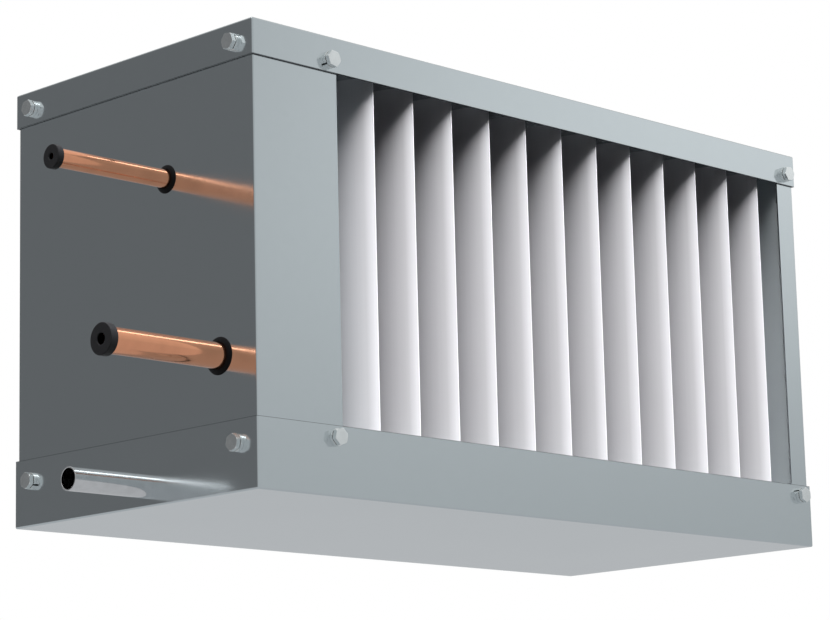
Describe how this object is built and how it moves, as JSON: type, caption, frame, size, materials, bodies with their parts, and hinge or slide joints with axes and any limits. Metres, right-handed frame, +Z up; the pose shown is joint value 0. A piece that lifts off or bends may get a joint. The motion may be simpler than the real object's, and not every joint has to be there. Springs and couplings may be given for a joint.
{
  "type": "duct cooling coil",
  "caption": "Sheet steel duct section with a finned copper cooling coil, upright drop eliminator blades, a drain tray and capped pipe connections.",
  "frame": {"origin": "centre of the drain tray's underside", "axes": "+Z up; -Y is the outlet side with the drop eliminator; -X is the side of the pipe connections"},
  "size_m": [0.8502, 0.3233, 0.39],
  "materials": {
    "galvanised_sheet": "smooth galvanised sheet",
    "tray_sheet": "smooth galvanised sheet",
    "inner_sheet": "galvanised sheet",
    "fin_aluminium": "bare rolled aluminium",
    "copper": "bright drawn copper",
    "brass_body": "turned brass",
    "blade_plastic": "glossy light grey",
    "black_rubber": "black rubber",
    "drain_steel": "bright steel tube",
    "bolt_zinc": "bright zinc plate"
  },
  "bodies": {
    "casing": {"top_cover": "galvanised_sheet", "left_side_panel": "galvanised_sheet", "right_side_panel": "galvanised_sheet", "drain_tray": "tray_sheet", "left_tube_plate": "inner_sheet", "right_tube_plate": "inner_sheet", "coil_channel_top": "inner_sheet", "coil_channel_bottom": "inner_sheet", "eliminator_rail_top": "inner_sheet", "eliminator_rail_bottom": "inner_sheet", "fin_pack": "fin_aluminium", "coil_tubes": "copper", "right_return_bends": "copper", "left_return_bends": "copper", "suction_pipe": "copper", "suction_header": "copper", "header_end_caps": "copper", "suction_branches": "copper", "liquid_pipe": "copper", "feed_tubes": "copper", "feed_collars": "copper", "liquid_distributor": "brass_body", "eliminator_blade_01": "blade_plastic", "eliminator_blade_02": "blade_plastic", "eliminator_blade_03": "blade_plastic", "eliminator_blade_04": "blade_plastic", "eliminator_blade_05": "blade_plastic", "eliminator_blade_06": "blade_plastic", "eliminator_blade_07": "blade_plastic", "eliminator_blade_08": "blade_plastic", "eliminator_blade_09": "blade_plastic", "eliminator_blade_10": "blade_plastic", "eliminator_blade_11": "blade_plastic", "eliminator_blade_12": "blade_plastic", "suction_grommet": "black_rubber", "liquid_grommet": "black_rubber", "drain_pipe": "drain_steel", "front_bolts": "bolt_zinc", "front_washers": "bolt_zinc", "left_bolts": "bolt_zinc", "left_washers": "bolt_zinc", "right_bolts": "bolt_zinc", "right_washers": "bolt_zinc", "front_rivet_nuts": "bolt_zinc", "left_rivet_nuts": "bolt_zinc", "right_rivet_nuts": "bolt_zinc", "rear_rivet_nuts": "bolt_zinc"},
    "suction_cap_body": {"suction_cap": "black_rubber"},
    "liquid_cap_body": {"liquid_cap": "black_rubber"}
  },
  "joints": [
    {"name": "suction_cap_pull", "type": "slide", "parent": "casing", "child": "suction_cap_body", "axis": [-1, 0, 0], "range_m": [0, 0.06]},
    {"name": "liquid_cap_pull", "type": "slide", "parent": "casing", "child": "liquid_cap_body", "axis": [-1, 0, 0], "range_m": [0, 0.06]}
  ]
}
